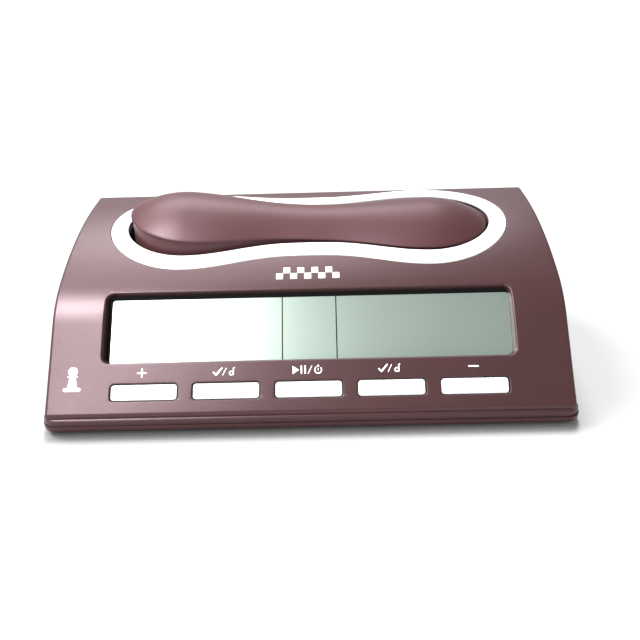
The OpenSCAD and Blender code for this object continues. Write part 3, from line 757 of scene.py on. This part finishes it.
def add_hole_walls(skin, window_hole, key_holes, ring_hole):
    # Window: rounded lip, drafted wall down to the glass, and round to the inner skin
    skin.rings([*window_hole.lip(),
                [panel_point(x, p, GLASS_DEPTH - 0.02) for x, p in window(WINDOW_DRAFT)],
                window_hole.back()])
    for h in key_holes:
        skin.rings([*h.lip(), h.back()])
    # Seat of the trim ring, with the rocker's opening inside it
    seat, opening = 1.3, RING_W - 0.05
    skin.rings([*ring_hole.lip(), ring_hole.ring(0.0, seat), ring_hole.ring(opening, seat),
                ring_hole.ring(opening, WALL), ring_hole.back()])


def add_ends(skin):
    """Ends: a quarter round and a flat side."""
    stations = side.stations
    for end in (-1, 1):
        rounds = [[side.point(end * (FLAT_X + SIDE_R * math.sin(t)), s,
                              SIDE_R * (1 - math.cos(t))) for s in stations]
                  for t in quarter(6)]
        skin.rings(rounds, closed=False)
        flank = [(p.y, p.z) for p in rounds[-1]]
        flank_points, flank_faces = triangulate(flank)
        skin.triangles([(end * BODY_W / 2, y, z) for y, z in flank_points], flank_faces)
        inner = [inner_point(end * FLAT_X, s) for s in stations]
        welded = [p for i, p in enumerate(inner) if i == 0 or (p - inner[i - 1]).length > 1e-3]
        inner_points, inner_faces = triangulate([(p.y, p.z) for p in welded])
        skin.triangles([(inner[0].x, y, z) for y, z in inner_points], inner_faces)


def add_rim(skin, xs):
    """Rim at the seam, between the outer and the inner skin."""
    def corner(s, turns):
        return [(FLAT_X + SIDE_R * math.sin(t), side.point(0, s, SIDE_R * (1 - math.cos(t))).y)
                for t in turns]

    turns = quarter(6)[1:]
    front_round = corner(0, turns)
    back_round = corner(side.length, reversed(turns))
    front_y, back_y = side.at(0)[0], side.at(side.length)[0]
    rim = ([(x, front_y) for x in xs] + front_round + back_round
           + [(x, back_y) for x in reversed(xs)]
           + [(-x, y) for x, y in reversed(back_round)]
           + [(-x, y) for x, y in reversed(front_round)])
    inner_front = [inner_point(x, 0) for x in xs]
    inner_back = [inner_point(x, side.length) for x in reversed(xs)]
    rim_points, rim_faces = triangulate(rim, [[(p.x, p.y) for p in inner_front + inner_back]])
    skin.triangles([(x, y, SEAM_Z) for x, y in rim_points], rim_faces)


def add_skirt(skin):
    """Proud skirt round the foot."""
    middle_y = (case_low.y + case_high.y) / 2
    skirt = rounded_rect(case_high.x - case_low.x, case_high.y - case_low.y, FLANGE_R,
                         (0, middle_y), 10, 8)
    section = [(0.2, SEAM_Z), (0.06, SEAM_Z + 0.06), (0, SEAM_Z + 0.2), (0, FLANGE_TOP_Z - 0.2),
               (0.05, FLANGE_TOP_Z), (0.17, FLANGE_TOP_Z + 0.17), (0.35, FLANGE_CHAMFER_Z - 0.14),
               (0.55, FLANGE_CHAMFER_Z - 0.03), (0.8, FLANGE_CHAMFER_Z),
               (3.0, FLANGE_CHAMFER_Z), (3.0, SEAM_Z)]
    skin.tube([[(x, y, z) for x, y in skirt(inset)] for inset, z in section])


def upper_case():
    skin = Builder()
    columns = 38
    xs = [FLAT_X * (2 * i / columns - 1) for i in range(columns + 1)]
    window_hole = panel_hole(window, 0.5)
    key_holes = [panel_hole(key_outline(i, KEY_CLEAR), 0.3) for i in range(-2, 3)]
    ring_hole = Hole(ring_outline, along_crown, DOWN, 0.25)
    add_skins(skin, xs, [window_hole, *key_holes, ring_hole])
    add_hole_walls(skin, window_hole, key_holes, ring_hole)
    add_ends(skin)
    add_rim(skin, xs)
    add_skirt(skin)
    skin.mesh("upper_shell", maroon, "case", "maroon_shell", ["upper_case"])


def trim_ring():
    gap, proud, edge, foot = 0.16, 0.1, 0.3, 1.15
    turns = quarter(4)
    section = ([(gap, -foot)] + [(gap + edge * (1 - math.cos(t)), proud - edge * (1 - math.sin(t)))
                                 for t in turns]
               + [(RING_W - edge * (1 - math.sin(t)), proud - edge * (1 - math.cos(t)))
                  for t in turns] + [(RING_W, -foot)])
    rings = []
    for inset, rise in section:
        rings.append([(x, y, top_z(y) + rise) for x, y in ring_outline(inset)])
    ring = Builder()
    ring.tube(rings)
    ring.mesh("trim_band", white_plastic, "case", "white_trim", ["trim_ring"])


# ---------- rocker ----------

def rim_rise(x, y):
    """Height of the rocker's rim over its middle."""
    return RIM_PITCH * y + RIM_BOW * (x / (LOBE_X + LOBE_A - RING_W - ROCKER_GAP)) ** 2


def dome_ring(inset, t, drop=0.0):
    """A ring of the dome: t is 1 at the rim and 0 on the spine."""
    ring = []
    for px, py in peanut(inset):
        spine = max(-LOBE_X, min(LOBE_X, px))
        share = min(abs(px) / LOBE_X, 1)
        height = DOME_WAIST + (DOME_LOBE - DOME_WAIST) * (1 - math.cos(math.pi * share)) / 2
        x, y = spine + (px - spine) * t, py * t
        ring.append((x, ROCKER_Y + y, RIM_Z - drop + rim_rise(x, y) + height * (1 - t * t)))
    return ring


def level_ring(inset, z):
    return [(x, ROCKER_Y + y, z) for x, y in peanut(inset)]


def rim_ring(inset, drop):
    return [(x, ROCKER_Y + y, RIM_Z - drop + rim_rise(x, y)) for x, y in peanut(inset)]


tilt = (Matrix.Translation(Vector((0, ROCKER_Y, PIVOT_Z)) * MM)
        @ Matrix.Rotation(math.radians(TILT), 4, "Y")
        @ Matrix.Translation(Vector((0, -ROCKER_Y, -PIVOT_Z)) * MM))


def rocker():
    rim = RING_W + ROCKER_GAP
    skirt = rim + 0.45
    low = RIM_Z - SKIRT_H
    ts = [1 - k / 24 for k in range(25)]
    outside = [level_ring(skirt + 0.25, low), level_ring(skirt + 0.07, low + 0.07),
               level_ring(skirt, low + 0.25), rim_ring(skirt, 0.8), rim_ring(skirt - 0.03, 0.65),
               rim_ring(rim + 0.15, 0.55), rim_ring(rim + 0.04, 0.48), rim_ring(rim, 0.35)]
    outside += [dome_ring(rim, t) for t in ts]
    hollow = [dome_ring(rim + CAP_WALL, t, CAP_WALL) for t in ts[::-2]]
    hollow.append(level_ring(rim + CAP_WALL, low))
    cap = Builder()
    cap.rings(outside)
    cap.rings(hollow)
    cap.rings([hollow[-1], outside[0]])
    cap.mesh("rocker_shell", maroon_smooth, "rocker", "maroon_shell", ["rocker_cap"], tilt)


# ---------- display and keys ----------

def resampled(levels):
    """Gives every level's outline the same number of points."""
    count = max(len(outline(0)) for outline, _inset, _depth in levels)

    def stretch(outline):
        def made(inset):
            points = outline(inset)
            lengths = [0.0]
            for a, b in zip(points, points[1:] + points[:1]):
                lengths.append(lengths[-1] + math.hypot(b[0] - a[0], b[1] - a[1]))
            if len(points) == count:
                return points
            loop = points + points[:1]
            out = []
            for i in range(count):
                want = lengths[-1] * i / count
                k = max(j for j in range(len(points)) if lengths[j] <= want + 1e-12)
                share = (want - lengths[k]) / (lengths[k + 1] - lengths[k])
                out.append((loop[k][0] + (loop[k + 1][0] - loop[k][0]) * share,
                            loop[k][1] + (loop[k + 1][1] - loop[k][1]) * share))
            return out
        return made

    return [(stretch(outline), inset, depth) for outline, inset, depth in levels]


def display_glass():
    pane = rounded_rect(GLASS_W, GLASS_P1 - GLASS_P0, 0.4, (0, (GLASS_P0 + GLASS_P1) / 2), 4, 8)
    glass = Builder()
    rings = [(0.0, GLASS_DEPTH + GLASS_T), (0.0, GLASS_DEPTH + 0.12), (0.035, GLASS_DEPTH + 0.035),
             (0.12, GLASS_DEPTH)]
    glass.rings([[panel_point(x, p, d) for x, p in pane(inset)] for inset, d in rings], capped=True)
    glass.mesh("display_pane", film, "case", "lcd_glass", ["lcd_front_glass"])


def display_border():
    """Black strip between the case and the display's clear field: a narrow frame, widened at the left and top with
    painted shade where the window's walls shade the display.
    """
    border = Builder()
    low, high = GLASS_P0 + 0.6, WINDOW_P0 + WINDOW_H - BORDER_TOP
    left, right = BORDER_LEFT - WINDOW_W / 2, WINDOW_W / 2 - BORDER_RIGHT
    field = rounded_rect(right - left, high - low, 0.9,
                         ((left + right) / 2, (low + high) / 2), 8, 2.0)
    outer = rounded_rect(WINDOW_W + 0.4, GLASS_P1 - GLASS_P0 - 0.4, WINDOW_R,
                         (0, (GLASS_P0 + GLASS_P1) / 2), 8, 2.0)
    loops = resampled([(outer, 0, -0.05), (outer, 0, 0.02), (field, -0.04, 0.02), (field, 0, 0.0),
                       (field, 0, -0.05)])
    border.tube([[panel_point(x, p, GLASS_DEPTH - up) for x, p in outline(inset)]
                 for outline, inset, up in loops])
    border.mesh("display_border", black_print, "case")


def display_lines():
    """Thin lines that part the display's left, middle and right fields."""
    for name, x in LINES:
        line = Builder()
        bar = rounded_rect(LINE_W, WINDOW_H - 0.6, 0.1, (x, WINDOW_P0 + WINDOW_H / 2), 2, 40)
        line.rings([[panel_point(px, p, GLASS_DEPTH - up) for px, p in bar(inset)]
                    for inset, up in ((0, -0.05), (0, 0.012), (0.02, 0.02))], capped=True)
        line.mesh(name, divider_ink, "case")


def crown(x, p):
    """How far a key's top rises over its edge."""
    across = min(1, abs(x) / (KEY_W / 2 - KEY_EDGE))
    along = min(1, abs(p) / (KEY_H / 2 - KEY_EDGE))
    return KEY_CROWN * (1 - across ** 6) * (1 - along ** 2)


def keys():
    flange_low = KEY_FLANGE_DEPTH + KEY_FLANGE
    for index, name in enumerate(KEYS, -2):
        middle = index * KEY_PITCH
        face = key_outline(index)
        flange = key_outline(index, KEY_FLANGE)
        stem = rounded_rect(KEY_STEM_W, KEY_STEM_H, KEY_STEM_R, (middle, KEY_P), 6, 2.4)
        levels = [(stem, 0, KEY_STEM_DEPTH), (stem, 0, flange_low), (flange, 0, flange_low),
                  (flange, 0, KEY_FLANGE_DEPTH), (face, 0, KEY_FLANGE_DEPTH)]
        levels += [(face, KEY_EDGE * (1 - math.cos(t)), KEY_SINK + KEY_EDGE * (1 - math.sin(t)))
                   for t in quarter(4)]
        key = Builder()
        key.rings([[panel_point(x, p, d) for x, p in outline(inset)]
                   for outline, inset, d in resampled(levels)])
        key.faces.append(tuple(range(len(stem(0)))))
        # Slightly crowned top
        spots = [(middle + KEY_W / 20 * i, KEY_P + KEY_H / 8 * j)
                 for i in range(-9, 10) for j in range(-3, 4)]
        on_top = inside(spots, face(0.6))
        points, triangles = triangulate(face(KEY_EDGE), (), [q for q, k in zip(spots, on_top) if k])
        key.triangles([panel_point(x, p, KEY_SINK - crown(x - middle, p - KEY_P))
                       for x, p in points], triangles)
        key.mesh(name + "_cap", key_plastic, name, "white_key", [name])


# ---------- printed symbols ----------

def capsule(a, b, width):
    """Outline of a straight stroke with round ends."""
    turn = math.atan2(b[1] - a[1], b[0] - a[0])
    ends = ((b, turn - math.pi / 2), (a, turn + math.pi / 2))
    return [(c[0] + width / 2 * math.cos(start + math.pi * k / 8),
             c[1] + width / 2 * math.sin(start + math.pi * k / 8))
            for c, start in ends for k in range(9)]


def stroke(points, width):
    return [capsule(a, b, width) for a, b in zip(points, points[1:])]


def arc(cx, cy, r, start, end, steps=24):
    turns = [math.radians(start + (end - start) * k / steps) for k in range(steps + 1)]
    return [(cx + r * math.cos(t), cy + r * math.sin(t)) for t in turns]


def symbol(name, shapes, place):
    """Joins outlines into one thin raised print; place(x, q, lift) gives its points."""
    flat = [Vector(p) for shape in shapes for p in shape]
    edges, start = [], 0
    for shape in shapes:
        edges += [(start + i, start + (i + 1) % len(shape)) for i in range(len(shape))]
        start += len(shape)
    points, _, faces, *_ = delaunay_2d_cdt(flat, edges, [], 0, 1e-6)
    middles = [sum((points[i] for i in f), Vector((0, 0))) / len(f) for f in faces]
    covered = np.zeros(len(faces), bool)
    for shape in shapes:
        covered |= inside(middles, shape)
    faces = [f for f, k in zip(faces, covered) if k]
    sides = {(f[i - 1], f[i]) for f in faces for i in range(len(f))}
    ink = Builder()
    top = ink.add([place(p.x, p.y, INK_H) for p in points])
    low = ink.add([place(p.x, p.y, -INK_ROOT) for p in points])
    ink.faces += [tuple(top[i] for i in f) for f in faces]
    ink.faces += [tuple(low[i] for i in reversed(f)) for f in faces]
    ink.faces += [(low[a], low[b], top[b], top[a]) for a, b in sides if (b, a) not in sides]
    ink.mesh(name, print_ink, "case")


def on_panel(x, p):
    return lambda u, v, lift: panel_point(x + u, p + v, -lift)


def symbols():
    plus = stroke([(-1.25, 0), (1.25, 0)], BOLD) + stroke([(0, -1.2), (0, 1.2)], BOLD)
    minus = stroke([(-1.35, 0), (1.35, 0)], BOLD)
    tick = (stroke([(-3.1, -0.2), (-2.35, -0.95), (-0.65, 1.0)], 0.5)
            + stroke([(-0.35, -1.05), (0.65, 0.95)], THIN)
            + stroke(arc(2.15, -0.5, 0.55, 0, 360), ROUND)
            + stroke([(2.8, -1.0), (2.8, 1.0), (3.1, 1.15)], ROUND))
    play = ([[(-4.4, -1.25), (-2.5, 0.0), (-4.4, 1.25)]]
            + stroke([(-1.8, -1.0), (-1.8, 1.1)], BOLD) + stroke([(-0.7, -1.0), (-0.7, 1.1)], BOLD)
            + stroke([(0.2, -1.1), (1.3, 1.1)], THIN)
            + stroke(arc(3.15, -0.1, 1.0, 130, 395), 0.34)
            + [[(2.65, 0.85), (3.65, 0.85), (3.15, 1.55)]]
            + stroke([(3.15, 0.35), (3.15, -0.2)], THIN))
    pawn = ([arc(0, 2.25, 1.45, 0, 345, 23),
             [(-0.7, 1.2), (0.7, 1.2), (1.55, -2.6), (-1.55, -2.6)]]
            + stroke([(-1.3, 0.75), (1.3, 0.75)], 0.5) + stroke([(-2.1, -3.1), (2.1, -3.1)], 1.1))
    symbol("print_plus", plus, on_panel(-49.5, 11.6))
    symbol("print_tick_left", tick, on_panel(-25.06, 11.55))
    symbol("print_play", play, on_panel(-0.3, 11.55))
    symbol("print_tick_right", tick, on_panel(23.9, 11.55))
    symbol("print_minus", minus, on_panel(48.7, 11.6))
    symbol("print_pawn", pawn, on_panel(-70.1, 10.1))
    square = ((0, 0), (CHEQUER, 0), (CHEQUER, CHEQUER), (0, CHEQUER))
    squares = [[(column * CHEQUER_PITCH + x, row * CHEQUER_PITCH + y) for x, y in square]
               for column in range(9) for row in range(2) if (column + row) % 2 == 0]
    symbol("print_chequers", squares,
           lambda u, v, lift: side.point(u - 9.8, along_crown(v - 10.4), -lift))


upper_case()
trim_ring()
rocker()
display_glass()
display_border()
display_lines()
keys()
symbols()


# ---------- carried-over CAD nodes ----------

def dress(names, made, width):
    """Gives CAD nodes their material and rounded edges."""
    for name in names:
        node = nodes[name]
        node.data.materials.clear()
        node.data.materials.append(made)
        if width:
            soften(node, width)


def round_rim(base, width):
    """Rounds the lower case's outer edges more than its other edges."""
    low, high = base_low, base_high
    middle = ((low.x + high.x) / 2, (low.y + high.y) / 2)
    inner = rounded_rect(high.x - low.x, high.y - low.y, BASE_R, middle, 16, 4)(0.15)
    places = [base.matrix_world @ v.co / MM for v in base.data.vertices]
    outside = ~inside([(p.x, p.y) for p in places], inner)
    floor_z = min(p.z for p, out in zip(places, outside) if out)
    chosen = [i for i, (p, out) in enumerate(zip(places, outside))
              if out and min(abs(p.z - floor_z), abs(p.z - SEAM_Z)) < 0.02]
    base.vertex_groups.new(name="rim").add(chosen, 1.0, "REPLACE")
    bevel = base.modifiers.new("rim", "BEVEL")
    bevel.width = width * MM
    bevel.segments = 5
    bevel.limit_method = "VGROUP"
    bevel.vertex_group = "rim"
    # Before the general rounding of the other edges
    with bpy.context.temp_override(object=base):
        bpy.ops.object.modifier_move_to_index(modifier="rim", index=2)


dress(["lower_case"], maroon, 0.3)
round_rim(nodes["lower_case"], 0.85)
dress(["battery_door"], maroon, 0.2)
dress(["rocker_bed", "rocker_frame", "buzzer_holder"], dark_plastic, 0.15)
dress(["pivot_bush_front", "pivot_bush_rear", "push_rod_left", "push_rod_right", "lcd_frame"],
      natural_plastic, 0.1)
dress(["lcd_rear_glass"], film_rear, 0.1)
dress(["rocker_screws", "switch_board_screws", "bed_screws", "main_board_screws", "case_screws",
       "pivot_pin", "crystal"], steel, 0.1)
dress(["rod_spring_left", "rod_spring_right"], steel, 0)
dress(["battery_plate"], nickel, 0.08)
dress(["battery_spring", "battery_bridge"], nickel, 0)
dress(["contact_left", "contact_right"], gold, 0.02)
dress(["switch_board", "main_board"], mask, 0.1)
dress(["controller_chip", "board_components"], resin, 0.1)
dress(["zebra_strip"], pink_rubber, 0.1)
dress(["keypad_mat"], grey_rubber, 0.15)
dress(["foot_front_left", "foot_front_right", "foot_back_left", "foot_back_right"], rubber, 0.3)
dress(["cell_front", "cell_rear"], sleeve, 0.3)
dress(["buzzer_disc"], brass, 0.05)
dress(["ribbon_cable"], ribbon, 0.1)
dress(["battery_wire_red"], wire_red, 0)
dress(["battery_wire_black"], wire_black, 0)
dress(["buzzer_wire"], wire_white, 0)


# ---------- camera, light and floor ----------

def camera():
    """Seen from in front of the case, a little to the right and from above."""
    place = Vector((6.55, -188.41, 123.56)) * MM
    down, yaw, roll = math.radians(30.5), -0.0149, 0.0228
    across = Vector((math.cos(yaw) * math.cos(roll), math.cos(yaw) * math.sin(roll),
                     math.sin(yaw)))
    upward = Vector((-math.sin(roll), math.cos(roll), 0))
    ahead = across.cross(upward)
    # Rows give the camera's right, up and forward in the frame tipped down by that angle
    axes = Matrix((across, upward, ahead)).transposed()
    right, up, forward = (Vector((v.x, v.y * math.sin(down) + v.z * math.cos(down),
                                  v.y * math.cos(down) - v.z * math.sin(down))) for v in axes)
    data = bpy.data.cameras.new("camera")
    data.sensor_width = 36
    data.lens = 36
    data.clip_start, data.clip_end = 0.01, 20
    made = bpy.data.objects.new("camera", data)
    bpy.context.scene.collection.objects.link(made)
    turn = Matrix((right, up, -forward)).transposed()
    made.matrix_world = Matrix.Translation(place) @ turn.to_4x4()
    bpy.context.scene.camera = made


def area_light(name, place, aim, size, power, receivers):
    data = bpy.data.lights.new(name, "AREA")
    data.shape = "RECTANGLE"
    data.size, data.size_y = size
    data.energy = power
    made = bpy.data.objects.new(name, data)
    bpy.context.scene.collection.objects.link(made)
    made.location = place
    made.rotation_euler = (Vector(aim) - Vector(place)).to_track_quat("-Z", "Y").to_euler()
    made.light_linking.receiver_collection = receivers


def sun_light(name, place, strength, spread_degrees, receivers):
    data = bpy.data.lights.new(name, "SUN")
    data.energy = strength
    data.angle = math.radians(spread_degrees)
    made = bpy.data.objects.new(name, data)
    bpy.context.scene.collection.objects.link(made)
    made.rotation_euler = Vector(place).to_track_quat("Z", "Y").to_euler()
    made.light_linking.receiver_collection = receivers


def sky():
    """White surroundings, pale near the horizon and dimmer overhead."""
    world = bpy.data.worlds.new("studio")
    world.use_nodes = True
    tree = world.node_tree
    background = tree.nodes["Background"]
    background.inputs["Color"].default_value = (1, 1, 1, 1)
    direction = tree.nodes.new("ShaderNodeTexCoord")
    parts = tree.nodes.new("ShaderNodeSeparateXYZ")
    tree.links.new(direction.outputs["Generated"], parts.inputs["Vector"])
    tree.links.new(ramp(tree, parts.outputs["Z"], 0.2, 0.4, 0.75, 0.2),
                   background.inputs["Strength"])
    bpy.context.scene.world = world


def soft_boxes():
    """The glossy highlights come from boxes that light the clock but not the paper."""
    clock = bpy.data.collections.new("clock")
    # Every mesh so far belongs to the clock, because the floor comes later
    for piece in bpy.context.scene.objects:
        if piece.type == "MESH":
            clock.objects.link(piece)
    # Name, where it hangs, where it points, its size and its power
    for name, place, aim, size, power in (
            ("shoulder_box", (-0.235, -0.11, 0.44), (-0.07, -0.01, 0.03), (0.10, 0.13), 3.5),
            ("display_box", (-0.18, -0.26, 0.40), (-0.03, -0.02, 0.02), (0.13, 0.08), 0.80),
            ("corner_box", (-0.26, -0.33, 0.33), (-0.06, -0.03, 0.01), (0.08, 0.09), 1.2),
            ("left_box", (-0.35, 0.35, 0.85), (0, 0, 0), (0.9, 0.6), 4.7),
            ("low_back_box", (0.0, 0.9, 0.6), (0, 0, 0), (1.2, 0.5), 1.4),
            ("back_box", (-0.12, 0.62, 0.85), (0, 0, 0), (0.9, 0.4), 7.0)):
        area_light(name, place, aim, size, power, clock)


def paper_floor():
    """Two broad lights from behind whiten the paper and leave a short shadow at the front."""
    floor_data = bpy.data.meshes.new("floor")
    reach = 30.0
    floor_data.from_pydata([(-reach, -reach, 0), (reach, -reach, 0), (reach, reach, 0),
                            (-reach, reach, 0)], [], [(0, 1, 2, 3)])
    floor = bpy.data.objects.new("floor", floor_data)
    bpy.context.scene.collection.objects.link(floor)
    paper, tree, shader = material("paper")
    tree.links.new(tint(tree, noise(tree, 40), (0.90, 0.90, 0.90), (0.92, 0.92, 0.92)),
                   shader.inputs["Base Color"])
    shader.inputs["Roughness"].default_value = 0.9
    floor_data.materials.append(paper)
    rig.stage(floor)
    paper_only = bpy.data.collections.new("paper")
    paper_only.objects.link(floor)
    sun_light("paper_back", (0.0, 0.66, 0.80), 3.0, 24, paper_only)
    sun_light("paper_left", (-0.70, 0.50, 0.70), 2.1, 36, paper_only)


camera()
sky()
soft_boxes()
paper_floor()
bpy.context.scene.view_settings.view_transform = "Standard"

shown_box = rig.bounds()
with open("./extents.json", "w") as size_file:
    json.dump({"cad": [list(v) for v in cad_box], "visual": [list(v) for v in shown_box]},
              size_file)
